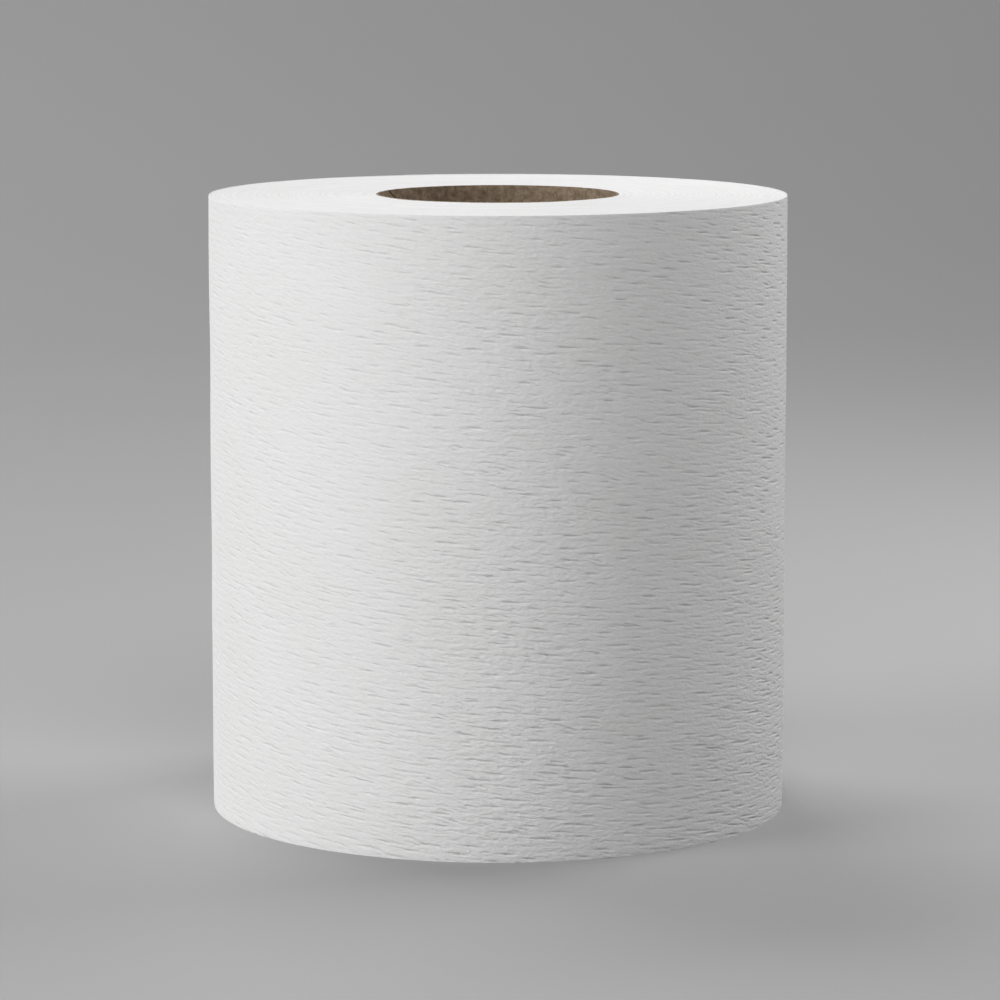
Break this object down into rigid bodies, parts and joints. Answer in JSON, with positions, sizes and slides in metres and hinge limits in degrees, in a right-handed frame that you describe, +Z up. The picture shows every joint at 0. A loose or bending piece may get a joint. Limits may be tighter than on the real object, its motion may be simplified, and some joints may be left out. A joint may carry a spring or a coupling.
{
  "type": "toilet paper roll",
  "caption": "Upright roll of soft white creped tissue wound tightly on a flush cardboard core tube, open from end to end for a holder's spindle.",
  "frame": {"origin": "on the roll's axis, in the plane of the lower end that it stands on", "axes": "+Z up along the roll's axis; the web's free end lies at 110 degrees about +Z from +X, on the side away from -Y"},
  "size_m": [0.0999, 0.0997, 0.1065],
  "materials": {
    "tissue": "soft matt white creped tissue",
    "core_chipboard": "matt grey-brown chipboard with a fibrous mottle"
  },
  "bodies": {
    "root": {"core_tube": "core_chipboard", "paper_roll": "tissue"}
  },
  "joints": []
}
